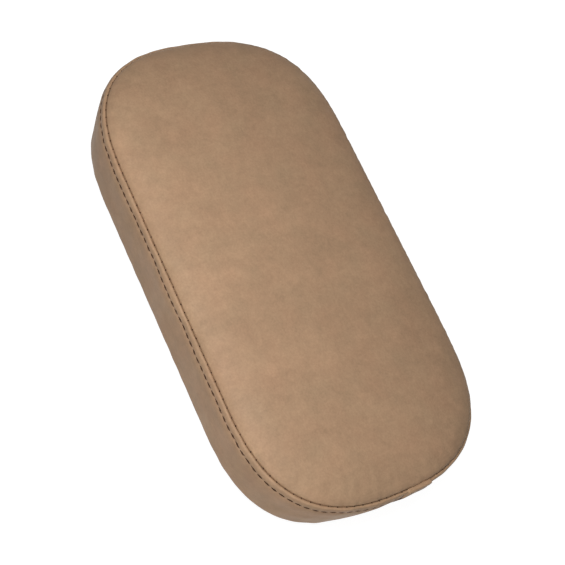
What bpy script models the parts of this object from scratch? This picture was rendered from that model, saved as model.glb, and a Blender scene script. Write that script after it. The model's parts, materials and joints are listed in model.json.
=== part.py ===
"""Boxed upholstered pad: a leatherette cover stuffed with foam and pulled round a plywood base.

The long axis lies along X, the foot end with the band's closing lap is +X and the pad rests on z = 0.
Every ring-shaped piece is a section of (offset from the seam line, height) swept round one outline.
"""
import math

import bmesh
import bpy
from mathutils import Matrix, Vector

MM = 0.001

# Plan of the sewn seam line
SEAM_LENGTH = 345 * MM
SEAM_WIDTH = 180 * MM
END_DEPTH = 92 * MM
END_POWER = 2.7
END_STEPS = 20
SIDE_STEPS = 6

# Heights of the stack, from the resting face upward
GAP = 0.3 * MM
STRIP_THICK = 2.2 * MM
DUST_BOTTOM = 2.5 * MM
DUST_THICK = 0.5 * MM
HEM_BOTTOM = 4.2 * MM
BOARD_BOTTOM = 5.7 * MM
BOARD_THICK = 9 * MM
FOAM_BOTTOM = 15 * MM
SUPPORT_FOAM_TOP = 36 * MM
SEAM_HEIGHT = 53.2 * MM

# Leatherette cover
LEATHER = 1.2 * MM
ALLOWANCE = 11 * MM
EDGE_RUN = 20 * MM
EDGE_RISE = 6 * MM
DOME_RISE = 7 * MM
DOME_REACH = 87 * MM
CROWN_DEPTHS = (32 * MM, 48 * MM, 66 * MM, 85 * MM)
RIM_RADIUS = 1.0 * MM
RIM_CENTRE = 1.3 * MM
RIM_SAG = 1.8 * MM
BELLY = 2.9 * MM
BELLY_DROP = 4 * MM
RIM_FOOT = (2.65 * MM, 2.4 * MM)
FOLD_END = 12 * MM
FOOT_OFFSET = -1.9 * MM
FOOT_HEIGHT = 7.8 * MM
FOOT_CORNER = (-3.1 * MM, 5.3 * MM)
FOOT_CORNER_INSIDE = (-4.1 * MM, 6.2 * MM)
HEM_CORNER = -6 * MM
HEM_REACH = -32 * MM
LAP_THICK = 1.0 * MM
LAP_START = 5 * MM
LAP_END = 24 * MM
LAP_STEP = 0.6 * MM

# Threads
THREAD_RADIUS = 0.4 * MM
STITCH_DROP = 6.3 * MM
STITCH_FLOOR = 1.75 * MM
STITCH_HALF = 0.9 * MM
SEAM_THREAD_OFFSET = 0.7 * MM
SEAM_THREAD_RISE = -0.15 * MM

# Filling, with the offsets of its sides at the foot and at the parting of the foams
WRAP_THICK = 3.5 * MM
WRAP_FOOT = -2.6 * MM
WRAP_FOOT_INSIDE = -6.1 * MM
WRAP_SIDE = -1.6 * MM
FOAM_FOOT = -6.5 * MM
FOAM_PARTING = -5.9 * MM

# Base, dust cover and loop strips
BOARD_OFFSET = -3.5 * MM
BOARD_ROUND = 3.4 * MM
VENT_RADIUS = 6 * MM
VENT_X = (-60 * MM, 60 * MM)
VENT_Y = (-35 * MM, 0.0, 35 * MM)
DUST_OFFSET = -11 * MM
STRIP_LENGTH = 220 * MM
STRIP_WIDTH = 38 * MM
STRIP_Y = 40 * MM
STRIP_CORNER = 3 * MM

# Staples
STAPLE_SPAN = 11 * MM
STAPLE_WIRE = 0.6 * MM
STAPLE_WIDTH = 1.2 * MM
STAPLE_LEG = 9 * MM
HEM_STAPLES = 18
HEM_STAPLE_OFFSET = -20 * MM
DUST_STAPLES = 10
DUST_STAPLE_OFFSET = -15.5 * MM
STRIP_STAPLE_X = (-100 * MM, 0.0, 100 * MM)
STRIP_STAPLE_BOTTOM = 0.8 * MM

HALF_SPINE = SEAM_LENGTH / 2 - END_DEPTH
HALF_WIDTH = SEAM_WIDTH / 2


def clear_scene():
    for obj in list(bpy.data.objects):
        bpy.data.objects.remove(obj, do_unlink=True)


def make_material(name, colour, roughness, metallic=0.0):
    mat = bpy.data.materials.new(name)
    mat.use_nodes = True
    shader = mat.node_tree.nodes["Principled BSDF"]
    shader.inputs["Base Color"].default_value = (*colour, 1.0)
    shader.inputs["Roughness"].default_value = roughness
    shader.inputs["Metallic"].default_value = metallic
    return mat


def add_object(name, bm, mat=None):
    bmesh.ops.recalc_face_normals(bm, faces=bm.faces)
    mesh = bpy.data.meshes.new(name)
    bm.to_mesh(mesh)
    bm.free()
    obj = bpy.data.objects.new(name, mesh)
    bpy.context.scene.collection.objects.link(obj)
    if mat is not None:
        mesh.materials.append(mat)
    return obj


def foot_end_stations():
    """Seam points round the +X end from -Y to +Y, each with the band's extra thickness there."""
    rows = [(LAP_START, 0.0), (LAP_START + LAP_STEP, LAP_THICK)]
    rows += [(LAP_END - LAP_STEP, LAP_THICK), (LAP_END, 0.0)]
    for step in range(END_STEPS + 1):
        angle = math.pi * (step / END_STEPS - 0.5)
        y = math.copysign(HALF_WIDTH * abs(math.sin(angle)) ** (2 / END_POWER), angle)
        if not LAP_START < y < LAP_END:
            rows.append((y, 0.0))
    stations = []
    for y, lap in sorted(rows):
        bulge = max(0.0, 1 - (abs(y) / HALF_WIDTH) ** END_POWER) ** (1 / END_POWER)
        stations.append((Vector((HALF_SPINE + END_DEPTH * bulge, y)), lap))
    return stations


def make_outline():
    """Closed seam line, counter-clockwise, as (point, outward direction, lap thickness)."""
    foot = foot_end_stations()
    head = [(Vector((-point.x, -point.y)), 0.0) for point, lap in foot]
    sides = [HALF_SPINE * (1 - 2 * step / SIDE_STEPS) for step in range(1, SIDE_STEPS)]
    far = [(Vector((x, HALF_WIDTH)), 0.0) for x in sides]
    near = [(Vector((-x, -HALF_WIDTH)), 0.0) for x in sides]
    outline = []
    for point, lap in foot + far + head + near:
        spine = Vector((max(-HALF_SPINE, min(HALF_SPINE, point.x)), 0.0))
        centred = point - Vector((LAP_THICK / 2, 0.0))
        outline.append((centred, (point - spine).normalized(), lap))
    return outline


OUTLINE = make_outline()


def ring(offset, height, lapped=False):
    """One loop of points at an offset from the seam line; a lapped loop steps out at the lap."""
    loop = []
    for point, outward, lap in OUTLINE:
        plan = point + outward * (offset + (lap if lapped else 0.0))
        loop.append(Vector((plan.x, plan.y, height)))
    return loop


def skin(name, loops, mat, open_after=None):
    """Solid skinned round a closed cycle of loops, capped flat where the cycle is opened."""
    bm = bmesh.new()
    rows = [[bm.verts.new(point) for point in loop] for loop in loops]
    count = len(rows[0])
    for index, low in enumerate(rows):
        high = rows[(index + 1) % len(rows)]
        if index == open_after:
            bm.faces.new(low)
            bm.faces.new(high)
            continue
        for i in range(count):
            j = (i + 1) % count
            bm.faces.new((low[i], low[j], high[j], high[i]))
    return add_object(name, bm, mat)


def sweep(name, section, mat, open_after=None):
    return skin(name, [ring(*entry) for entry in section], mat, open_after)


def dome(depth):
    reach = min(depth / DOME_REACH, 1.0)
    return DOME_RISE * (1 - (1 - reach) ** 2)


def crown(inset, roll_steps):
    """Section of the crowned top at a depth below the cover's outer face, from the seam inward."""
    section = []
    for step in range(roll_steps + 1):
        angle = math.pi / 2 * step / roll_steps
        depth = EDGE_RUN - (EDGE_RUN - inset) * math.cos(angle)
        rise = (EDGE_RISE - inset) * math.sin(angle)
        section.append((-depth, SEAM_HEIGHT + rise + dome(depth)))
    for depth in CROWN_DEPTHS:
        section.append((-depth, SEAM_HEIGHT + EDGE_RISE - inset + dome(depth)))
    return section


def top_panel(mat):
    flange = SEAM_HEIGHT - ALLOWANCE
    outer = [(0.0, flange)] + crown(0.0, 5)
    inner = crown(LEATHER, 4)[::-1] + [(-LEATHER, flange)]
    return sweep("top_panel", outer + inner, mat, open_after=len(outer) - 1)


def side_band(mat):
    """Strip with a folded rim, a sunk stitch line, a drawn-in foot and a hem turned under the board."""
    stitch = SEAM_HEIGHT - STITCH_DROP
    rim_height = SEAM_HEIGHT - RIM_SAG
    fold_end = SEAM_HEIGHT - FOLD_END
    hem_top = HEM_BOTTOM + LEATHER
    crest = []
    for step in range(4, -1, -1):
        angle = math.pi * step / 4
        lapped = step < 2
        x = RIM_CENTRE + RIM_RADIUS * math.cos(angle)
        crest.append((x, rim_height + RIM_RADIUS * math.sin(angle), lapped))
    outer = [
        (RIM_FOOT[0], stitch + RIM_FOOT[1], True),
        (STITCH_FLOOR, stitch + STITCH_HALF, True),
        (STITCH_FLOOR, stitch - STITCH_HALF, True),
        (BELLY, stitch - BELLY_DROP, True),
        (FOOT_OFFSET, FOOT_HEIGHT, True),
        FOOT_CORNER,
        (HEM_CORNER, HEM_BOTTOM),
    ]
    hem = [(HEM_REACH, HEM_BOTTOM), (HEM_REACH, hem_top)]
    inner = [
        (HEM_CORNER - GAP, hem_top),
        FOOT_CORNER_INSIDE,
        (FOOT_OFFSET - LEATHER, FOOT_HEIGHT + GAP),
        (BELLY - 1.5 * LEATHER, fold_end - GAP),
        (RIM_CENTRE - RIM_RADIUS, fold_end),
    ]
    return sweep("side_band", crest + outer + hem + inner, mat)


def fibre_wrap(mat):
    inset = LEATHER + GAP
    outer = [(WRAP_FOOT, FOAM_BOTTOM), (WRAP_SIDE, SEAM_HEIGHT - ALLOWANCE)] + crown(inset, 3)
    inner = crown(inset + WRAP_THICK, 3)[::-1] + [(WRAP_FOOT_INSIDE, FOAM_BOTTOM)]
    return sweep("fibre_wrap", outer + inner, mat, open_after=len(outer) - 1)


def comfort_foam(mat):
    inset = LEATHER + GAP + WRAP_THICK + GAP
    section = [(FOAM_PARTING, SUPPORT_FOAM_TOP + GAP)] + crown(inset, 2)
    return sweep("comfort_foam", section, mat, open_after=len(section) - 1)


def support_foam(mat):
    section = [(FOAM_FOOT, FOAM_BOTTOM), (FOAM_PARTING, SUPPORT_FOAM_TOP)]
    return sweep("support_foam", section, mat, open_after=1)


def base_board(mat):
    top = BOARD_BOTTOM + BOARD_THICK
    section = [
        (BOARD_OFFSET - BOARD_ROUND, BOARD_BOTTOM),
        (BOARD_OFFSET - BOARD_ROUND / 3, BOARD_BOTTOM + BOARD_ROUND / 3),
        (BOARD_OFFSET, BOARD_BOTTOM + BOARD_ROUND),
        (BOARD_OFFSET, top),
    ]
    return sweep("base_board", section, mat, open_after=3)


def dust_cover(mat):
    section = [(DUST_OFFSET, DUST_BOTTOM), (DUST_OFFSET, DUST_BOTTOM + DUST_THICK)]
    return sweep("dust_cover", section, mat, open_after=1)


def tube(name, path, mat, closed):
    """Square-section thread along a path, its corners turned to lie on the path's normal plane."""
    loops = []
    count = len(path)
    corners = ((1, 0), (0, 1), (-1, 0), (0, -1))
    for i, point in enumerate(path):
        ahead = path[(i + 1) % count] if closed else path[min(i + 1, count - 1)]
        behind = path[i - 1] if closed else path[max(i - 1, 0)]
        along = (ahead - behind).normalized()
        guide = Vector((0, 0, 1)) if abs(along.z) < 0.7 else Vector((1, 0, 0))
        side = along.cross(guide).normalized()
        lift = side.cross(along)
        loops.append([point + (side * a + lift * b) * THREAD_RADIUS for a, b in corners])
    return skin(name, loops, mat, open_after=None if closed else count - 1)


def threads(mat):
    topstitch_offset = STITCH_FLOOR + GAP + THREAD_RADIUS
    tube("topstitch_thread", ring(topstitch_offset, SEAM_HEIGHT - STITCH_DROP, True), mat, True)
    tube("seam_thread", ring(SEAM_THREAD_OFFSET, SEAM_HEIGHT + SEAM_THREAD_RISE), mat, True)
    index = next(i for i, entry in enumerate(OUTLINE) if entry[2] > 0.0)
    step_edge, outward, flat = OUTLINE[index - 1]
    foot = step_edge - Vector((0.0, GAP + THREAD_RADIUS))
    high = SEAM_HEIGHT - STITCH_DROP - BELLY_DROP
    path = []
    for height in (high, FOOT_HEIGHT):
        share = (high - height) / (high - FOOT_HEIGHT)
        offset = BELLY + (FOOT_OFFSET - BELLY) * share + GAP + THREAD_RADIUS
        plan = foot + outward * offset
        path.append(Vector((plan.x, plan.y, height)))
    tube("lap_thread", path, mat, False)


def add_box(bm, centre, size, turn=0.0):
    place = Matrix.Translation(centre) @ Matrix.Rotation(turn, 4, "Z") @ Matrix.Diagonal((*size, 1.0))
    bmesh.ops.create_cube(bm, size=1.0, matrix=place)


def loop_strip(name, y, mat):
    corners = []
    for sx, sy, turn in ((1, 1, 0), (-1, 1, 90), (-1, -1, 180), (1, -1, 270)):
        for step in (0, 45, 90):
            angle = math.radians(turn + step)
            x = sx * (STRIP_LENGTH / 2 - STRIP_CORNER) + STRIP_CORNER * math.cos(angle)
            corners.append((x, y + sy * (STRIP_WIDTH / 2 - STRIP_CORNER) + STRIP_CORNER * math.sin(angle)))
    loops = [[Vector((a, b, height)) for a, b in corners] for height in (0.0, STRIP_THICK)]
    return skin(name, loops, mat, open_after=1)


def walk(offset, share):
    """Point and heading at a share of the way round an offset of the outline."""
    loop = ring(offset, 0.0)
    steps = [(loop[(i + 1) % len(loop)] - point) for i, point in enumerate(loop)]
    left = share * sum(step.length for step in steps)
    for point, step in zip(loop, steps):
        if left <= step.length:
            return point + step.normalized() * left, math.atan2(step.y, step.x)
        left -= step.length
    return loop[0], math.atan2(steps[0].y, steps[0].x)


def staple_places():
    """Every staple as (name, point of its crown's underside, heading)."""
    places = []
    for i in range(HEM_STAPLES):
        point, turn = walk(HEM_STAPLE_OFFSET, (i + 0.5) / HEM_STAPLES)
        point.z = HEM_BOTTOM - GAP - STAPLE_WIRE
        places.append((f"hem_staple_{i + 1:02d}", point, turn))
    for i in range(DUST_STAPLES):
        hem_slot = round(i * HEM_STAPLES / DUST_STAPLES)
        point, turn = walk(DUST_STAPLE_OFFSET, hem_slot / HEM_STAPLES)
        point.z = DUST_BOTTOM - GAP - STAPLE_WIRE
        places.append((f"dust_cover_staple_{i + 1:02d}", point, turn))
    spots = [(x, y) for y in (-STRIP_Y, STRIP_Y) for x in STRIP_STAPLE_X]
    for i, (x, y) in enumerate(spots):
        point = Vector((x, y, STRIP_STAPLE_BOTTOM))
        places.append((f"strip_staple_{i + 1:02d}", point, math.pi / 2))
    return places


def staple(name, point, turn, mat):
    """Flat-wire staple with its crown below and two legs driven upward."""
    half = STAPLE_SPAN / 2
    inside = half - STAPLE_WIRE
    profile = [(-half, 0.0), (half, 0.0), (half, STAPLE_LEG), (inside, STAPLE_LEG)]
    profile += [(inside, STAPLE_WIRE), (-inside, STAPLE_WIRE), (-inside, STAPLE_LEG), (-half, STAPLE_LEG)]
    place = Matrix.Translation(point) @ Matrix.Rotation(turn, 4, "Z")
    loops = []
    for side in (-STAPLE_WIDTH / 2, STAPLE_WIDTH / 2):
        loops.append([place @ Vector((x, side, z)) for x, z in profile])
    return skin(name, loops, mat, open_after=1)


def leg_holes(places):
    """One cutter with a clearance hole for every staple leg."""
    bm = bmesh.new()
    height = STAPLE_LEG - STAPLE_WIRE + GAP
    size = (STAPLE_WIRE + 2 * GAP, STAPLE_WIDTH + 2 * GAP, height)
    for name, point, turn in places:
        for side in (-1, 1):
            along = side * (STAPLE_SPAN - STAPLE_WIRE) / 2
            shift = Vector((math.cos(turn) * along, math.sin(turn) * along, STAPLE_WIRE + height / 2))
            add_box(bm, point + shift, size, turn)
    return add_object("staple_leg_holes", bm)


def strip_recesses(places):
    """Cutter that sinks the strip staples' crowns into the pile."""
    bm = bmesh.new()
    top = STRIP_STAPLE_BOTTOM + STAPLE_WIRE + GAP
    low = -1 * MM
    size = (STAPLE_SPAN + 2 * GAP, STAPLE_WIDTH + 2 * GAP, top - low)
    for name, point, turn in places:
        if name.startswith("strip"):
            add_box(bm, Vector((point.x, point.y, (top + low) / 2)), size, turn)
    return add_object("strip_crown_recesses", bm)


def vents():
    bm = bmesh.new()
    for x in VENT_X:
        for y in VENT_Y:
            place = Matrix.Translation((x, y, BOARD_BOTTOM + BOARD_THICK / 2))
            bmesh.ops.create_cone(bm, cap_ends=True, segments=16, radius1=VENT_RADIUS, radius2=VENT_RADIUS,
                                  depth=2 * BOARD_THICK, matrix=place)
    return add_object("board_vents", bm)


def cut(target, cutter):
    cutter.hide_render = True
    cutter.display_type = "WIRE"
    modifier = target.modifiers.new(cutter.name, "BOOLEAN")
    modifier.operation = "DIFFERENCE"
    modifier.solver = "EXACT"
    modifier.object = cutter


def main():
    clear_scene()
    leather = make_material("tan_leatherette", (0.36, 0.21, 0.125), 0.45)
    thread = make_material("brown_thread", (0.09, 0.045, 0.025), 0.7)
    fibre = make_material("white_fibre", (0.85, 0.85, 0.83), 0.95)
    soft = make_material("comfort_foam_cream", (0.80, 0.72, 0.50), 0.95)
    firm = make_material("support_foam_grey", (0.40, 0.42, 0.45), 0.95)
    plywood = make_material("birch_plywood", (0.62, 0.45, 0.27), 0.7)
    felt = make_material("black_nonwoven", (0.03, 0.03, 0.032), 0.95)
    pile = make_material("dark_loop_pile", (0.05, 0.047, 0.045), 0.95)
    steel = make_material("staple_steel", (0.62, 0.62, 0.64), 0.35, 1.0)

    top_panel(leather)
    band = side_band(leather)
    threads(thread)
    fibre_wrap(fibre)
    comfort_foam(soft)
    support_foam(firm)
    board = base_board(plywood)
    dust = dust_cover(felt)
    strips = [loop_strip("loop_strip_near", -STRIP_Y, pile), loop_strip("loop_strip_far", STRIP_Y, pile)]

    places = staple_places()
    for name, point, turn in places:
        staple(name, point, turn, steel)
    holes = leg_holes(places)
    recesses = strip_recesses(places)
    for target in (band, board, dust, *strips):
        cut(target, holes)
    for strip in strips:
        cut(strip, recesses)
    cut(board, vents())


main()
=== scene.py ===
import json
import math

import bpy
import numpy as np
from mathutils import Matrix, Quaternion, Vector


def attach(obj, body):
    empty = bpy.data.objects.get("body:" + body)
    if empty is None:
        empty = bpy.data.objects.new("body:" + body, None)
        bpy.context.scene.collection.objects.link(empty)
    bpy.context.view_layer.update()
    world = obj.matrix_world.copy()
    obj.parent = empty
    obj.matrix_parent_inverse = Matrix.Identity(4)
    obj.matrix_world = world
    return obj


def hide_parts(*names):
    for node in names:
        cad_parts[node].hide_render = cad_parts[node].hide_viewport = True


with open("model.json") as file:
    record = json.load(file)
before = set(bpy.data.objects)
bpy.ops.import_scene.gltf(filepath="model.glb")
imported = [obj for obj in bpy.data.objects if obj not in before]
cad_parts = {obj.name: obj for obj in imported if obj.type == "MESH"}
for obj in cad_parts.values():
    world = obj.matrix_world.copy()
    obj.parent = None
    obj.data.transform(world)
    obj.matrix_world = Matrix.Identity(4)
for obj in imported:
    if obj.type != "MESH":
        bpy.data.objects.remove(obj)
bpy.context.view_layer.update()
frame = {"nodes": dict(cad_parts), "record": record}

MM = 0.001

# Plan and heights of the pad, the same values as the solids
SEAM_LENGTH = 345 * MM
SEAM_WIDTH = 180 * MM
END_DEPTH = 92 * MM
END_POWER = 2.7
HALF_SPINE = SEAM_LENGTH / 2 - END_DEPTH
HALF_WIDTH = SEAM_WIDTH / 2
LAP_THICK = 1.0 * MM
LAP_START = 5 * MM
LAP_END = 24 * MM
SEAM_HEIGHT = 53.2 * MM
EDGE_RUN = 20 * MM
EDGE_RISE = 6 * MM
DOME_RISE = 7 * MM
DOME_REACH = 87 * MM
HEM_BOTTOM = 4.2 * MM
FOOT_HEIGHT = 7.8 * MM
FOOT_OFFSET = -1.9 * MM
STITCH_DROP = 6.3 * MM
STITCH_HEIGHT = SEAM_HEIGHT - STITCH_DROP
BAND_FLOOR = 2.15 * MM
BAND_BELLY = 3.0 * MM
STRIP_LENGTH = 220 * MM
STRIP_WIDTH = 38 * MM
STRIP_Y = 40 * MM
STRIP_THICK = 2.2 * MM

# Points along half of an end, and the part of the way to the spine that rings of points go
HALF_END = 600
SPINE_SHARE = 0.96

# Sewing
STITCH_PITCH = 5.78 * MM
COLUMNS_PER_STITCH = 4
STITCH_SHARE = 0.84
STITCH_POINTS = 11
PLY_RADIUS = 0.38 * MM
PLY_SPREAD = 0.22 * MM
PLY_SIDES = 5
TWIST_PITCH = 2.6 * MM
KNOT_PITCH = 6.08 * MM
KNOT_POINTS = 7
KNOT_RADIUS = 0.38 * MM
KNOT_SIDES = 6
KNOT_RUN = 0.35 * MM
KNOT_START = -0.30 * MM
KNOT_REACH = 0.85 * MM
KNOT_DROP = 0.85 * MM
KNOT_FALL = 0.20 * MM
KNOT_ARCH = 0.20 * MM
LAP_ROW_GAP = 0.7 * MM
LAP_ROW_DROP = 4 * MM

# Far long side, with a fuller shoulder and a lower rim
FAR_FULL = 1.0 * MM
FAR_SINK = 1.1 * MM
FAR_ACROSS = (0.4, 0.9)
FAR_ALONG = (60 * MM, 115 * MM)
SHOULDER_START = 1.0 * MM
SHOULDER_REACH = 16 * MM

# Top panel: inset and drop in millimetres and tone of the rings in the seam groove, then the rolled edge; the
# tone is painted shade deep in the groove (below 1) and painted light at its lip (above 1)
GROOVE_RINGS = ((0.12, 5.0, 0.8), (0.10, 2.0, 0.95), (0.08, 1.1, 1.05), (0.06, 0.5, 1.1))
ROLL_STEPS = 16
ROLL_CROWDING = 1.15
CROWN_STEPS = 16
HOLE_SWELL = 0.20 * MM
HOLE_REACH = 2.6 * MM
PUCKER_SIZE = 0.12 * MM
PUCKER_REACH = 9 * MM
TUCK_SIZE = 0.06 * MM
TUCK_REACH = 1.2 * MM
# Painted light: the top panel is paler just inside the seam, offsetting the groove's shade
EDGE_PAINTED_LIGHT = 0.1
EDGE_PAINTED_LIGHT_REACH = 0.5 * MM

# Cloth simulation of the top panel
HELD_RINGS = 8
START_EDGE = 1.04
START_MIDDLE = 0.94
SWELL_FRAMES = 20
SWELL_QUALITY = 5
SWELL_MASS = 0.2
SWELL_PRESSURE = 4.0
SWELL_STIFFNESS = 40
SWELL_BENDING = 0.3
SWELL_HOLD = 0.1
SWELL_LIMIT = 0.6 * MM

# Side band: rows of its section in the groove and up to the rim's outer side, then its moves
GROOVE_ROWS = 3
RIM_ROWS = 10
# Painted shade: the band is darker on its rows inside the seam groove
GROOVE_PAINTED_SHADE = 0.8
# Painted highlight: the band is a little lighter along its rim, where the crest catches the light
RIM_PAINTED_HIGHLIGHT = 0.03
# Painted highlight: the leather bulging between the topstitches, at the needle holes, is lighter
GAP_PAINTED_HIGHLIGHT = 0.10
RIM_HEIGHT = SEAM_HEIGHT - 1.2 * MM
RIM_REACH = 1.8 * MM
RIM_SWELL = 0.08 * MM
CHANNEL_REACH = 1.2 * MM
HOLE_DIP = 0.55 * MM
WALL_RINGS = 10
WALL_TOP_DROP = 4.6 * MM
WALL_BULGE = 0.35 * MM
WALL_INNER = -3.0 * MM
RIPPLE_SIZE = 0.10 * MM
SAG_SIZE = 0.25 * MM
SAG_ABOVE = 9 * MM
LAP_RAMP = 0.3 * MM
LAP_COLUMNS = np.array([-0.6, -0.3, -0.1, 0.1, 0.3, 0.6]) * MM
LAP_SHELL = (0.6 * MM, 1.7 * MM)
LAP_TUCK = 0.25
LAP_LIFT = 0.6
PLEAT_DEPTH = 0.55 * MM
PLEAT_OFFSET = -9 * MM
PLEAT_REACH = 3.5 * MM
PLEAT_ENDS = (HALF_SPINE - 10 * MM, HALF_SPINE + 25 * MM)

# Dust cover: offset and height in millimetres of its turned edge, then the slack cloth
DUST_COLUMNS = 240
DUST_EDGE = ((-17.0, 3.05), (-12.5, 3.0), (-11.15, 2.9), (-11.0, 2.75), (-11.15, 2.6), (-12.5, 2.52))
DUST_EDGE_WAVE = 0.35 * MM
DUST_RINGS = 21
DUST_INSET = 12.5 * MM
DUST_HEIGHT = 2.55 * MM
DUST_SLACK = 0.22 * MM
DUST_TAUT_SHARE = 0.35

# Loop tape
TAPE_LONG_STEPS = 176
TAPE_CROSS_STEPS = 32
TAPE_SELVEDGE = 1.2 * MM
TAPE_SIDE_RAMP = 1.6 * MM
TAPE_END_RAMP = 1.0 * MM
TAPE_WEB = 1.40 * MM
TAPE_PILE = 1.0 * MM
TAPE_TUFT = 0.35 * MM

# Most of a noise texture's values lie between these
NOISE_LOW = 0.3
NOISE_HIGH = 0.7

# Studio: lamps as name, place and watts
FLOOR_HALF = 4.0
FLOOR_GLOW = 0.92
FLOOR_COLOUR = 0.26
WORLD_LIGHT = 0.15
LAMP_SIDE = 0.3
LAMP_AIM = (0.0, 0.0, 0.04)
LAMPS = (("key", (0.0, -0.225, 0.556), 2.9),
         ("front", (0.406, -0.871, 0.276), 2.9),
         ("side", (0.832, -0.481, 0.276), 1.42))
CAMERA_PLACE = (0.2189, -0.4251, 0.6790)
CAMERA_LOOK = (-0.26115, 0.52957, -0.80707)
CAMERA_ROLL = 42.96
CAMERA_LENS = 74.49
CAMERA_SENSOR = 36.0


class Outline:
    """The seam line as a closed curve, measured along its length from the foot end's tip towards +Y."""

    def __init__(self):
        angle = np.linspace(-math.pi / 2, math.pi / 2, 2 * HALF_END + 1)
        power = 2 / END_POWER
        y = HALF_WIDTH * np.sign(angle) * np.abs(np.sin(angle)) ** power
        x = HALF_SPINE + END_DEPTH * np.abs(np.cos(angle)) ** power
        foot = np.column_stack([x, y])
        line = np.roll(np.vstack([foot, -foot]), -HALF_END, axis=0)
        self.line = np.vstack([line, line[:1]])
        step = np.linalg.norm(np.diff(self.line, axis=0), axis=1)
        self.travel = np.concatenate([[0.0], np.cumsum(step)])
        self.length = self.travel[-1]
        self.stitches = round(self.length / STITCH_PITCH)
        self.pitch = self.length / self.stitches

    def even(self, columns):
        """Distances of evenly spaced columns round the seam."""
        return np.arange(columns) * self.length / columns

    def plan(self, s):
        """Seam points at distances s, their outward directions, and how far the spine lies inwards."""
        s = np.mod(s, self.length)
        point = np.column_stack([np.interp(s, self.travel, self.line[:, i]) for i in (0, 1)])
        spine = np.column_stack([np.clip(point[:, 0], -HALF_SPINE, HALF_SPINE), np.zeros(len(s))])
        outward = point - spine
        reach = np.linalg.norm(outward, axis=1)
        centred = np.array([LAP_THICK / 2, 0.0])
        return point - centred, outward / reach[:, None], reach

    def at_height(self, y):
        """Distance along the seam to the point beside the foot tip with this y."""
        count = HALF_END + 1
        return float(np.interp(y, self.line[:count, 1], self.travel[:count]))


SEAM = Outline()


def wobble(s, seed, waves, size):
    """Smooth unevenness along the closed seam, made of a few whole-number waves with scattered phases."""
    total = np.zeros_like(s)
    for k, wave in enumerate(waves):
        phase = math.sin(seed * 12.9898 + k * 78.233) * 43.7585
        total += np.sin(2 * math.pi * wave * s / SEAM.length + phase)
    return size * total / math.sqrt(len(waves))


def smooth_step(low, high, value):
    t = np.clip((value - low) / (high - low), 0.0, 1.0)
    return t * t * (3 - 2 * t)


def bell(distance, reach):
    return np.exp(-((distance / reach) ** 2))


def hole_phase(s):
    """0 at a needle hole and 1 half way to the next."""
    return 0.5 - 0.5 * np.cos(2 * math.pi * s / SEAM.pitch)


def lap_at(s):
    """Extra thickness where the band's ends lap."""
    start = SEAM.at_height(LAP_START)
    end = SEAM.at_height(LAP_END)
    rise = smooth_step(start - LAP_RAMP, start + LAP_RAMP, s)
    fall = smooth_step(end - LAP_RAMP, end + LAP_RAMP, s)
    return LAP_THICK * (rise - fall)


def far_side(point):
    """1 along the far side, fading out round both ends."""
    across = smooth_step(*FAR_ACROSS, point[:, 1] / HALF_WIDTH)
    return across * (1 - smooth_step(*FAR_ALONG, point[:, 0]))


def shoulder(depth):
    """How the fuller stuffing shows from the seam inwards."""
    return (1 - np.exp(-depth / SHOULDER_START)) * bell(depth, SHOULDER_REACH)


def dome(depth):
    reach = np.clip(depth / DOME_REACH, 0.0, 1.0)
    return DOME_RISE * (1 - (1 - reach) ** 2)


def mesh_object(name, verts, faces, mat, body="root"):
    mesh = bpy.data.meshes.new(name)
    mesh.from_pydata([tuple(v) for v in verts], [], faces)
    mesh.polygons.foreach_set("use_smooth", [True] * len(mesh.polygons))
    mesh.materials.append(mat)
    mesh.update()
    obj = bpy.data.objects.new(name, mesh)
    bpy.context.scene.collection.objects.link(obj)
    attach(obj, body)
    return obj


def set_tone(obj, values):
    layer = obj.data.attributes.new("tone", "FLOAT", "POINT")
    layer.data.foreach_set("value", np.asarray(values, np.float32).ravel())


def grid_faces(rows, columns, closed=True):
    """Quads of a grid whose columns run round a closed loop, or along an open strip."""
    faces = []
    for r in range(rows - 1):
        low, high = r * columns, (r + 1) * columns
        for c in range(columns if closed else columns - 1):
            d = (c + 1) % columns
            faces.append((low + c, low + d, high + d, high + c))
    return faces


def close_rings(rings, columns):
    """Points and faces of closed rings, the last of them joined straight across the spine."""
    verts = np.vstack([np.column_stack([plan, height]) for plan, height in rings])
    faces = grid_faces(len(rings), columns)
    base = (len(rings) - 1) * columns
    for i in range(columns // 2):
        quad = [base + i, base + i + 1, base + columns - i - 1, base + (columns - i) % columns]
        faces.append(tuple(dict.fromkeys(quad)))
    return verts, faces


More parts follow.
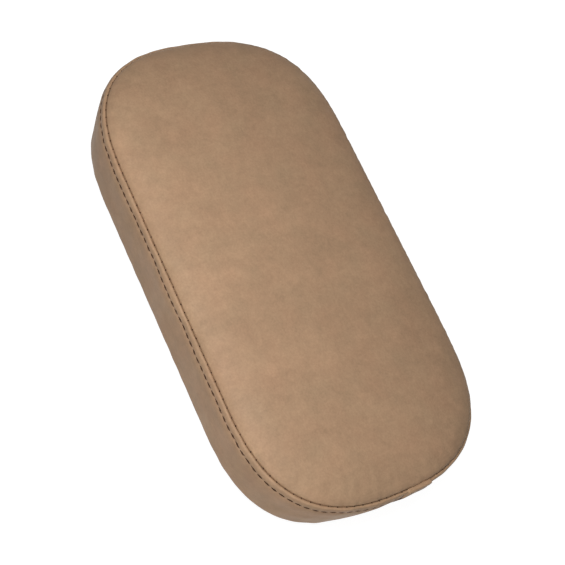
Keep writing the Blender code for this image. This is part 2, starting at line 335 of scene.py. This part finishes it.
class Shader:
    """A Principled material that is built up from short node calls."""

    def __init__(self, name, colour, roughness, **values):
        self.mat = bpy.data.materials.new(name)
        self.mat.use_nodes = True
        self.tree = self.mat.node_tree
        self.main = self.tree.nodes["Principled BSDF"]
        self.main.inputs["Base Color"].default_value = (*colour, 1.0)
        self.main.inputs["Roughness"].default_value = roughness
        for key, value in values.items():
            self.main.inputs[key.replace("_", " ")].default_value = value
        self.colour = colour
        self.place = self.tree.nodes.new("ShaderNodeTexCoord").outputs["Object"]

    def node(self, kind, links=None, **settings):
        made = self.tree.nodes.new("ShaderNode" + kind)
        for key, value in settings.items():
            setattr(made, key, value)
        for key, value in (links or {}).items():
            socket = made.inputs[key]
            if isinstance(value, bpy.types.NodeSocket):
                self.tree.links.new(value, socket)
            else:
                socket.default_value = value
        return made

    def noise(self, scale, detail=3.0, roughness=0.55, stretch=None):
        place = self.place
        if stretch is not None:
            place = self.node("Mapping", {"Vector": place, "Scale": stretch}).outputs["Vector"]
        values = {"Vector": place, "Scale": scale, "Detail": detail, "Roughness": roughness}
        return self.node("TexNoise", values).outputs["Fac"]

    def cells(self, scale, feature="F1"):
        values = {"Vector": self.place, "Scale": scale}
        return self.node("TexVoronoi", values, feature=feature).outputs["Distance"]

    def spread(self, value, low, high, to_low, to_high):
        values = {"Value": value, "From Min": low, "From Max": high, "To Min": to_low, "To Max": to_high}
        return self.node("MapRange", values).outputs["Result"]

    def mottle(self, noise, to_low, to_high):
        return self.spread(noise, NOISE_LOW, NOISE_HIGH, to_low, to_high)

    def tint(self, factors):
        """Base colour times each of the factors."""
        level = factors[0]
        for factor in factors[1:]:
            level = self.node("Math", {0: level, 1: factor}, operation="MULTIPLY").outputs["Value"]
        scaled = self.node("VectorMath", {0: self.colour, "Scale": level}, operation="SCALE")
        self.tree.links.new(scaled.outputs["Vector"], self.main.inputs["Base Color"])

    def blush(self, noise, lean):
        """Lets the base colour lean to both sides of its hue with the noise."""
        centred = [c - 0.5 * part for c, part in zip(self.colour, lean)]
        leaning = self.node("VectorMath", {0: noise, 1: lean, 2: centred}, operation="MULTIPLY_ADD")
        self.colour = leaning.outputs["Vector"]

    def tone(self):
        return self.node("Attribute", attribute_name="tone").outputs["Fac"]

    def bump(self, height, strength, distance):
        chained = self.main.inputs["Normal"].links
        values = {"Height": height, "Strength": strength, "Distance": distance}
        if chained:
            values["Normal"] = chained[0].from_socket
        made = self.node("Bump", values)
        self.tree.links.new(made.outputs["Normal"], self.main.inputs["Normal"])

    def rough(self, value):
        self.tree.links.new(value, self.main.inputs["Roughness"])


def leather_material():
    """Tan leatherette: mottled in five sizes, each a scale, detail, stretch and depth, with a fine grain."""
    look = Shader("tan_leatherette", (0.334, 0.2115, 0.1275), 0.56, Specular_IOR_Level=0.15)
    layers = ((26, 4.0, None, 0.065), (95, 4.0, None, 0.055), (260, 3.0, None, 0.050),
              (720, 2.0, None, 0.060), (150, 3.0, (1.0, 0.2, 1.0), 0.030))
    look.blush(look.noise(45, 4.0), (0.030, -0.010, -0.006))
    shades = []
    for scale, detail, stretch, depth in layers:
        shades.append(look.mottle(look.noise(scale, detail, stretch=stretch), 1 - depth, 1 + depth))
    # the tone attribute brings in the painted shade and painted light of the top panel and band
    look.tint(shades + [look.tone()])
    look.rough(look.mottle(look.noise(60, 3.0), 0.51, 0.61))
    look.bump(look.noise(420, 2.0), 0.10, 0.3 * MM)
    look.bump(look.cells(1300, "SMOOTH_F1"), 0.16, 0.25 * MM)
    return look.mat


def thread_material():
    look = Shader("brown_thread", (0.050, 0.021, 0.009), 0.75, Specular_IOR_Level=0.25)
    look.tint([look.mottle(look.noise(700, 2.0), 0.75, 1.25)])
    look.bump(look.noise(5200, 2.0, stretch=(1, 1, 0.4)), 0.35, 0.08 * MM)
    return look.mat


def cloth_material(name, colour, scale, sheen):
    look = Shader(name, colour, 0.92, Sheen_Weight=sheen)
    fibre = look.noise(scale, 5.0, 0.7)
    look.tint([look.mottle(fibre, 0.65, 1.4), look.mottle(look.noise(60, 3.0), 0.9, 1.1)])
    look.bump(fibre, 0.5, 0.25 * MM)
    return look.mat


def foam_material(name, colour):
    look = Shader(name, colour, 0.95)
    pores = look.cells(900)
    # the pores are darker at their centres, where the bump makes pits: painted shade in the pores
    look.tint([look.spread(pores, 0.0, 0.6, 0.75, 1.08), look.mottle(look.noise(40), 0.95, 1.05)])
    look.bump(pores, 0.6, 0.5 * MM)
    return look.mat


def wood_material():
    look = Shader("birch_plywood", (0.60, 0.43, 0.25), 0.65)
    streak = look.noise(60, 5.0, 0.6, stretch=(0.12, 1.0, 1.0))
    waves = {"Vector": look.place, "Scale": 110.0, "Distortion": 0.4}
    plies = look.node("TexWave", waves, bands_direction="Z").outputs["Fac"]
    look.tint([look.mottle(streak, 0.86, 1.1), look.spread(plies, 0.0, 1.0, 0.92, 1.04)])
    look.bump(streak, 0.2, 0.2 * MM)
    return look.mat


def steel_material():
    look = Shader("staple_steel", (0.60, 0.60, 0.62), 0.36, Metallic=1.0)
    drawn = look.noise(1500, 3.0, 0.6, stretch=(1.0, 1.0, 0.3))
    look.tint([look.mottle(drawn, 0.85, 1.1)])
    look.rough(look.mottle(drawn, 0.28, 0.46))
    look.bump(drawn, 0.2, 0.05 * MM)
    return look.mat


def crown_points(s, edge=1.0, middle=1.0):
    """Rings of the top panel from inside the seam groove to the spine, and the tone of each point, which is
    painted shade in the groove and painted light at its lip and at the seam edge.

    The shares scale the rise of the rolled edge and the rise of the crown towards the middle.
    """
    point, outward, reach = SEAM.plan(s)
    hole = hole_phase(s)
    pucker = wobble(s, 3, (61, 74, 89, 103), PUCKER_SIZE)
    fuller = FAR_FULL * far_side(point)
    rings, tones = [], []
    # the tone of these rings is painted shade deep in the groove and painted light at its lip
    for inset, drop, tone in GROOVE_RINGS:
        rings.append((point - outward * inset * MM, np.full(len(s), SEAM_HEIGHT - drop * MM)))
        tones.append(np.full(len(s), tone))
    for step in range(ROLL_STEPS + 1):
        angle = math.pi / 2 * (step / ROLL_STEPS) ** ROLL_CROWDING
        depth = EDGE_RUN * (1 - math.cos(angle))
        swell = (hole - 0.5) * HOLE_SWELL * bell(depth, HOLE_REACH) + pucker * math.exp(-depth / PUCKER_REACH)
        tuck = TUCK_SIZE * math.exp(-depth / TUCK_REACH)
        rise = edge * EDGE_RISE * math.sin(angle) + middle * dome(depth) + fuller * shoulder(depth)
        plan = point - outward * (depth + tuck - swell * math.cos(angle))[:, None]
        rings.append((plan, SEAM_HEIGHT + rise + swell * math.sin(angle)))
        # painted light at the seam side of the rolled edge
        tones.append(np.full(len(s), 1 + EDGE_PAINTED_LIGHT * bell(depth, EDGE_PAINTED_LIGHT_REACH)))
    for share in np.linspace(0, 1, CROWN_STEPS + 1)[1:]:
        depth = EDGE_RUN + (SPINE_SHARE * reach - EDGE_RUN) * share
        rise = edge * EDGE_RISE + middle * dome(depth) + fuller * shoulder(depth)
        height = SEAM_HEIGHT + rise + pucker * np.exp(-depth / PUCKER_REACH)
        rings.append((point - outward * depth[:, None], height))
        tones.append(np.ones(len(s)))
    return rings, tones


def swelling():
    """Cloth simulation of the panel: held at its edge, it is lifted by pressure from a flatter start.

    Gives the distances along the seam, and how far each free ring ends above the drawn crown there.
    """
    columns = 2 * SEAM.stitches
    s = SEAM.even(columns)
    full = np.vstack([height for plan, height in crown_points(s)[0][HELD_RINGS:]])
    rings = crown_points(s, START_EDGE, START_MIDDLE)[0][HELD_RINGS:]
    verts, faces = close_rings(rings, columns)
    mesh = bpy.data.meshes.new("swelling")
    mesh.from_pydata([tuple(v) for v in verts], [], faces)
    panel = bpy.data.objects.new("swelling", mesh)
    scene = bpy.context.scene
    scene.collection.objects.link(panel)
    held = panel.vertex_groups.new(name="held")
    held.add(list(range(len(verts))), SWELL_HOLD, "REPLACE")
    held.add(list(range(columns)), 1.0, "REPLACE")
    cloth = panel.modifiers.new("swelling", "CLOTH")
    cloth.point_cache.frame_start = 1
    cloth.point_cache.frame_end = SWELL_FRAMES
    cloth.collision_settings.use_collision = False
    values = cloth.settings
    values.quality = SWELL_QUALITY
    values.mass = SWELL_MASS
    values.tension_stiffness = SWELL_STIFFNESS
    values.compression_stiffness = SWELL_STIFFNESS
    values.shear_stiffness = SWELL_STIFFNESS / 2
    values.bending_stiffness = SWELL_BENDING
    values.vertex_group_mass = "held"
    values.use_pressure = True
    values.uniform_pressure_force = SWELL_PRESSURE
    values.effector_weights.gravity = 0
    for number in range(1, SWELL_FRAMES + 1):
        scene.frame_set(number)
    shaped = panel.evaluated_get(bpy.context.evaluated_depsgraph_get()).data
    points = np.empty(len(verts) * 3)
    shaped.vertices.foreach_get("co", points)
    bpy.data.objects.remove(panel)
    bpy.data.meshes.remove(mesh)
    scene.frame_set(1)
    reached = points.reshape(-1, 3)[:, 2].reshape(full.shape)
    return s, SWELL_LIMIT * np.tanh((reached - full) / SWELL_LIMIT)


def make_top(mat):
    columns = SEAM.stitches * COLUMNS_PER_STITCH
    s = SEAM.even(columns)
    rings, tones = crown_points(s)
    at, rise = swelling()
    for k, row in enumerate(rise):
        plan, height = rings[HELD_RINGS + k]
        rings[HELD_RINGS + k] = (plan, height + np.interp(s, at, row, period=SEAM.length))
    verts, faces = close_rings(rings, columns)
    top = mesh_object("cover_top", verts, faces, mat)
    set_tone(top, np.concatenate(tones))
    return top


def wall_offset(share):
    """Offset of the band's wall from under the stitch line, at share 0, down to the foot, at share 1."""
    return BAND_BELLY + (FOOT_OFFSET - BAND_BELLY) * share + WALL_BULGE * np.sin(math.pi * share)


def band_profile():
    """Section of the band from inside the groove over the rim, down the wall and in under the hem.

    Each point is an offset from the seam line and a height, in metres. The rows below are in millimetres:
    offset and drop below the seam for the groove and the rim, offset and drop below the stitch line for the
    channel, and offset and height for the foot and the hem.
    """
    hem = HEM_BOTTOM / MM
    rim = ((0.02, 6.0), (0.02, 2.2), (0.06, 1.40), (0.27, 1.15), (0.58, 0.97), (0.93, 0.85),
           (1.25, 0.82), (1.56, 0.88), (1.86, 1.05), (2.13, 1.35), (2.34, 1.85), (2.53, 2.60),
           (2.66, 3.45), (2.74, 4.3), (2.70, 5.0), (2.50, 5.6))
    channel = ((BAND_FLOOR / MM, 0.0), (2.45, 0.6), (2.72, 1.3), (2.90, 2.3))
    under = ((-2.35, 6.5), (-3.1, 5.35), (-4.3, 4.55), (-6.0, hem), (-9.0, hem), (-12.0, hem),
             (-16.0, hem), (-24.0, hem), (-32.0, hem), (-32.0, hem + 1.2))
    points = [(offset * MM, SEAM_HEIGHT - drop * MM) for offset, drop in rim]
    points += [(offset * MM, STITCH_HEIGHT - drop * MM) for offset, drop in channel]
    top = STITCH_HEIGHT - WALL_TOP_DROP
    for share in np.linspace(0, 1, WALL_RINGS + 1):
        points.append((wall_offset(share), top + (FOOT_HEIGHT - top) * share))
    return points + [(offset * MM, height * MM) for offset, height in under]


def band_drift(s):
    """Unevenness of the sewn rim and of the wall below it."""
    return wobble(s, 5, (37, 46, 59, 71), RIPPLE_SIZE), wobble(s, 8, (9, 13, 17, 22), SAG_SIZE)


def make_band(mat):
    lap_columns = [SEAM.at_height(y) + LAP_COLUMNS for y in (LAP_START, LAP_END)]
    s = np.sort(np.concatenate([SEAM.even(SEAM.stitches * COLUMNS_PER_STITCH), *lap_columns]))
    point, outward = SEAM.plan(s)[:2]
    hole = hole_phase(s)
    lap = lap_at(s)
    ripple, sag = band_drift(s)
    pleats = np.abs(wobble(s, 11, (84, 97, 113, 128), PLEAT_DEPTH))
    pleats = pleats * smooth_step(*PLEAT_ENDS, np.abs(point[:, 0]))
    sink = FAR_SINK * far_side(point)
    rows, tones = [], []
    for k, (d, z) in enumerate(band_profile()):
        inside = k < GROOVE_ROWS
        on_rim = 0.0 if inside else bell(z - RIM_HEIGHT, RIM_REACH)
        at_stitch = 0.0 if inside else bell(z - STITCH_HEIGHT, CHANNEL_REACH)
        wall = float(d > WALL_INNER and not inside)
        under = bell(d - PLEAT_OFFSET, PLEAT_REACH) if z < HEM_BOTTOM + 0.1 * MM else 0.0
        shell = smooth_step(*LAP_SHELL, d) if k < RIM_ROWS else wall
        cover = float(GROOVE_ROWS <= k < RIM_ROWS) * (1 - shell)
        drift = ripple + sag * (1 - on_rim) * float(z > SAG_ABOVE)
        push = lap * (shell - LAP_TUCK * cover) + drift * wall + (0.5 - hole) * HOLE_DIP * at_stitch
        lift = (lap * LAP_LIFT + (hole - 0.5) * RIM_SWELL) * on_rim - pleats * under
        lift = lift - sink * (float(k > 0) if inside else on_rim)
        rows.append(np.column_stack([point + outward * (d + push)[:, None], z + lift]))
        # painted shade inside the groove, and a painted highlight along the rim
        tone = (GROOVE_PAINTED_SHADE if inside else 1.0) + RIM_PAINTED_HIGHLIGHT * on_rim
        # painted highlights on the bulges between the topstitches
        tones.append(tone * (1 + GAP_PAINTED_HIGHLIGHT * at_stitch * (1 - hole)))
    faces = [face[::-1] for face in grid_faces(len(rows), len(s))]
    band = mesh_object("cover_band", np.vstack(rows), faces, mat)
    set_tone(band, np.concatenate(tones))
    return band


def tube_mesh(paths, radius, sides):
    """Verts and faces of round tubes along many paths, each closed by a flat face at both ends."""
    verts, faces = [], []
    turns = [2 * math.pi * k / sides for k in range(sides)]
    upright = np.array([0.0, 0.0, 1.0])
    level = np.array([1.0, 0.0, 0.0])
    for path in paths:
        along = np.gradient(path, axis=0)
        along /= np.linalg.norm(along, axis=1)[:, None]
        steep = abs(along[len(path) // 2][2]) >= 0.8
        side = np.cross(along, level if steep else upright)
        side /= np.linalg.norm(side, axis=1)[:, None]
        lift = np.cross(side, along)
        base = len(verts)
        for p, a, b in zip(path, side, lift):
            verts += [p + (a * math.cos(turn) + b * math.sin(turn)) * radius for turn in turns]
        faces += [tuple(base + i for i in face) for face in grid_faces(len(path), sides)]
        faces.append(tuple(base + c for c in reversed(range(sides))))
        faces.append(tuple(base + (len(path) - 1) * sides + c for c in range(sides)))
    return verts, faces


def twisted(centre, side, lift, length):
    """Two plies wound round a centre line."""
    turns = np.linspace(0, 2 * math.pi * length / TWIST_PITCH, len(centre))
    plies = []
    for start in (0.0, math.pi):
        swing = side * np.cos(turns + start)[:, None] + lift * np.sin(turns + start)[:, None]
        plies.append(centre + swing * PLY_SPREAD)
    return plies


def arch(t, height, power, sunk):
    """How a stitch stands over its channel from one needle hole to the next."""
    return height * np.clip(np.sin(math.pi * t), 0, 1) ** power - sunk


def make_topstitches(mat):
    """Separate stitches on the band, each lying in the channel with both ends going into needle holes."""
    paths = []
    length = SEAM.pitch * STITCH_SHARE
    t = np.linspace(0, 1, STITCH_POINTS)
    over = arch(t, 0.90 * MM, 0.35, 0.70 * MM)
    side = np.tile([0.0, 0.0, 1.0], (len(t), 1))
    for i in range(SEAM.stitches):
        lean = 0.10 * MM * math.sin(i * 2.4) + 0.07 * MM * math.sin(i * 5.1 + 1)
        s = (i + 0.5) * SEAM.pitch + (t - 0.5) * length * (1 + 0.05 * math.sin(i * 3.7))
        point, outward = SEAM.plan(s)[:2]
        offset = BAND_FLOOR + lap_at(np.mod(s, SEAM.length)) + sum(band_drift(s)) + over
        centre = np.column_stack([point + outward * offset[:, None], STITCH_HEIGHT + lean * (2 * t - 1)])
        lift = np.column_stack([outward, np.zeros(len(t))])
        paths += twisted(centre, side, lift, length)
    verts, faces = tube_mesh(paths, PLY_RADIUS, PLY_SIDES)
    return mesh_object("topstitches", verts, faces, mat)


def make_seam_stitches(mat):
    """The joining stitches, each a short knot across the groove from panel to rim; the lap hides its own."""
    paths = []
    t = np.linspace(0, 1, KNOT_POINTS)
    count = round(SEAM.length / KNOT_PITCH)
    offset = KNOT_START + KNOT_REACH * t
    height = SEAM_HEIGHT - KNOT_DROP - KNOT_FALL * t + KNOT_ARCH * np.sin(math.pi * t)
    for i in range(count):
        place = (i + 0.06 * math.sin(i * 4.3)) * SEAM.length / count
        if lap_at(place) > LAP_THICK / 2:
            continue
        point, outward = SEAM.plan(place + KNOT_RUN * (t - 0.5))[:2]
        plan = point + outward * offset[:, None]
        paths.append(np.column_stack([plan, height - FAR_SINK * far_side(point)]))
    verts, faces = tube_mesh(paths, KNOT_RADIUS, KNOT_SIDES)
    return mesh_object("seam_stitches", verts, faces, mat)


def make_lap_stitches(mat):
    """Row of stitches down the step of the lap."""
    paths = []
    t = np.linspace(0, 1, STITCH_POINTS)
    s = np.full(len(t), SEAM.at_height(LAP_START) - LAP_ROW_GAP)
    point, outward = SEAM.plan(s)[:2]
    lift = np.column_stack([outward, np.zeros(len(t))])
    side = np.column_stack([-outward[:, 1], outward[:, 0], np.zeros(len(t))])
    over = arch(t, 0.55 * MM, 0.5, 0.15 * MM) + sum(band_drift(s))
    high = STITCH_HEIGHT - LAP_ROW_DROP
    length = STITCH_PITCH * STITCH_SHARE
    for i in range(int((high - FOOT_HEIGHT) / STITCH_PITCH)):
        z = high - (i + 0.5) * STITCH_PITCH - (t - 0.5) * length
        offset = wall_offset((high - z) / (high - FOOT_HEIGHT)) + over
        centre = np.column_stack([point + outward * offset[:, None], z])
        paths += twisted(centre, side, lift, length)
    verts, faces = tube_mesh(paths, PLY_RADIUS, PLY_SIDES)
    return mesh_object("lap_stitches", verts, faces, mat)


def make_dust_cover(mat):
    """Non-woven cloth under the board, turned under at its edge and slack between its staples."""
    s = SEAM.even(DUST_COLUMNS)
    point, outward, reach = SEAM.plan(s)
    wave = wobble(s, 17, (21, 27, 34), DUST_EDGE_WAVE)
    rings = []
    for offset, height in DUST_EDGE:
        plan = point + outward * (offset * MM + wave)[:, None]
        rings.append((plan, np.full(DUST_COLUMNS, height * MM)))
    for share in np.linspace(0, 1, DUST_RINGS + 1)[1:]:
        depth = DUST_INSET + (SPINE_SHARE * reach - DUST_INSET) * share
        plan = point - outward * depth[:, None]
        x, y = plan.T
        slack = np.sin(x * 61 + 1.3 * np.sin(y * 37)) * np.sin(y * 53 + x * 19)
        rings.append((plan, DUST_HEIGHT + DUST_SLACK * slack * smooth_step(0.0, DUST_TAUT_SHARE, share)))
    verts, faces = close_rings(rings, DUST_COLUMNS)
    return mesh_object("dust_cloth", verts, faces, mat)


def make_loop_tape(name, y, mat):
    """Tape with a raised field of loops and a flat woven edge on both long sides."""
    columns, rows = TAPE_LONG_STEPS, TAPE_CROSS_STEPS
    x = np.linspace(-STRIP_LENGTH / 2, STRIP_LENGTH / 2, columns)
    ends = smooth_step(0.0, TAPE_END_RAMP, STRIP_LENGTH / 2 - np.abs(x))
    low, high = [], []
    for j, across in enumerate(np.linspace(-STRIP_WIDTH / 2, STRIP_WIDTH / 2, rows)):
        field = smooth_step(0.0, TAPE_SIDE_RAMP, STRIP_WIDTH / 2 - abs(across) - TAPE_SELVEDGE)
        tuft = 0.5 + 0.5 * np.sin(x * 2900 + j * 2.1) * np.sin(j * 1.7 + x * 700)
        depth = field * ends * (TAPE_PILE + TAPE_TUFT * tuft)
        line = np.column_stack([x, np.full(columns, y + across)])
        low.append(np.column_stack([line, TAPE_WEB - depth]))
        high.append(np.column_stack([line, np.full(columns, STRIP_THICK)]))
    count = rows * columns
    faces = [face[::-1] for face in grid_faces(rows, columns, closed=False)]
    faces += [tuple(i + count for i in face[::-1]) for face in faces]
    border = list(range(columns))
    border += [r * columns + columns - 1 for r in range(1, rows)]
    border += [(rows - 1) * columns + c for c in range(columns - 2, -1, -1)]
    border += [r * columns for r in range(rows - 2, 0, -1)]
    for a, b in zip(border, border[1:] + border[:1]):
        faces.append((b, a, a + count, b + count))
    return mesh_object(name, np.vstack(low + high), faces, mat)


def shows_background(tree):
    """1 for rays that show the background: the camera's own, and those reflected or let through."""
    path = tree.nodes.new("ShaderNodeLightPath")
    level = path.outputs["Is Camera Ray"]
    for name in ("Is Glossy Ray", "Is Transmission Ray"):
        either = tree.nodes.new("ShaderNodeMath")
        either.operation = "MAXIMUM"
        tree.links.new(level, either.inputs[0])
        tree.links.new(path.outputs[name], either.inputs[1])
        level = either.outputs[0]
    return level


def make_floor():
    mat = bpy.data.materials.new("pale_floor")
    mat.use_nodes = True
    tree = mat.node_tree
    tree.nodes.clear()
    new = tree.nodes.new
    diffuse = new("ShaderNodeBsdfDiffuse")
    diffuse.inputs["Color"].default_value = (FLOOR_COLOUR, FLOOR_COLOUR, FLOOR_COLOUR, 1.0)
    glow = new("ShaderNodeEmission")
    level = new("ShaderNodeMath")
    level.operation = "MULTIPLY"
    level.inputs[1].default_value = FLOOR_GLOW
    tree.links.new(shows_background(tree), level.inputs[0])
    tree.links.new(level.outputs[0], glow.inputs["Strength"])
    both = new("ShaderNodeAddShader")
    tree.links.new(diffuse.outputs[0], both.inputs[0])
    tree.links.new(glow.outputs[0], both.inputs[1])
    out = new("ShaderNodeOutputMaterial")
    tree.links.new(both.outputs[0], out.inputs["Surface"])
    mesh = bpy.data.meshes.new("floor")
    corners = [(x * FLOOR_HALF, y * FLOOR_HALF, 0) for x, y in ((-1, -1), (1, -1), (1, 1), (-1, 1))]
    mesh.from_pydata(corners, [], [(0, 1, 2, 3)])
    mesh.materials.append(mat)
    floor = bpy.data.objects.new("floor", mesh)
    bpy.context.scene.collection.objects.link(floor)


def make_world():
    """A dim even world that shows as white as the far floor where the background is seen."""
    world = bpy.data.worlds.new("studio")
    bpy.context.scene.world = world
    world.use_nodes = True
    tree = world.node_tree
    ground = tree.nodes["Background"]
    ground.inputs["Color"].default_value = (1.0, 1.0, 1.0, 1.0)
    level = tree.nodes.new("ShaderNodeMapRange")
    level.inputs["To Min"].default_value = WORLD_LIGHT
    level.inputs["To Max"].default_value = FLOOR_GLOW + FLOOR_COLOUR * WORLD_LIGHT
    tree.links.new(shows_background(tree), level.inputs["Value"])
    tree.links.new(level.outputs["Result"], ground.inputs["Strength"])


def make_lights():
    for name, place, power in LAMPS:
        data = bpy.data.lights.new(name, "AREA")
        data.shape = "RECTANGLE"
        data.size = data.size_y = LAMP_SIDE
        data.energy = power
        lamp = bpy.data.objects.new(name, data)
        lamp.location = place
        lamp.rotation_mode = "QUATERNION"
        lamp.rotation_quaternion = (Vector(LAMP_AIM) - Vector(place)).to_track_quat("-Z", "Y")
        bpy.context.scene.collection.objects.link(lamp)


def make_camera():
    data = bpy.data.cameras.new("camera")
    data.lens = CAMERA_LENS
    data.sensor_width = CAMERA_SENSOR
    camera = bpy.data.objects.new("camera", data)
    camera.location = CAMERA_PLACE
    camera.rotation_mode = "QUATERNION"
    roll = Quaternion((0, 0, 1), math.radians(CAMERA_ROLL))
    camera.rotation_quaternion = Vector(CAMERA_LOOK).to_track_quat("-Z", "Y") @ roll
    bpy.context.scene.collection.objects.link(camera)
    bpy.context.scene.camera = camera


def dress_nodes(materials):
    """Carried-over nodes get the procedural material of their slot."""
    slots = {entry["node"]: entry["material_slot"] for entry in frame["record"]["subparts"]}
    for name, node in frame["nodes"].items():
        node.data.materials.clear()
        node.data.materials.append(materials[slots[name]])


def main():
    bpy.context.scene.view_settings.view_transform = "Standard"
    materials = {
        "tan_leatherette": leather_material(),
        "brown_thread": thread_material(),
        "white_fibre": cloth_material("white_fibre", (0.80, 0.80, 0.78), 900, 0.3),
        "comfort_foam_cream": foam_material("comfort_foam_cream", (0.78, 0.70, 0.48)),
        "support_foam_grey": foam_material("support_foam_grey", (0.38, 0.40, 0.43)),
        "birch_plywood": wood_material(),
        "black_nonwoven": cloth_material("black_nonwoven", (0.022, 0.022, 0.024), 1500, 0.2),
        "dark_loop_pile": cloth_material("dark_loop_pile", (0.040, 0.037, 0.035), 2600, 0.4),
        "staple_steel": steel_material(),
    }
    dress_nodes(materials)
    make_camera()
    make_world()
    make_floor()
    make_lights()

    leather, thread = materials["tan_leatherette"], materials["brown_thread"]
    top = make_top(leather)
    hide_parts("top_panel")
    band = make_band(leather)
    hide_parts("side_band")
    for maker, node in ((make_topstitches, "topstitch_thread"), (make_seam_stitches, "seam_thread"),
                        (make_lap_stitches, "lap_thread")):
        piece = maker(thread)
        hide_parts(node)
    dust = make_dust_cover(materials["black_nonwoven"])
    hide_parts("dust_cover")
    for name, y, node in (("loop_tape_near", -STRIP_Y, "loop_strip_near"),
                          ("loop_tape_far", STRIP_Y, "loop_strip_far")):
        tape = make_loop_tape(name, y, materials["dark_loop_pile"])
        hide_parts(node)


main()
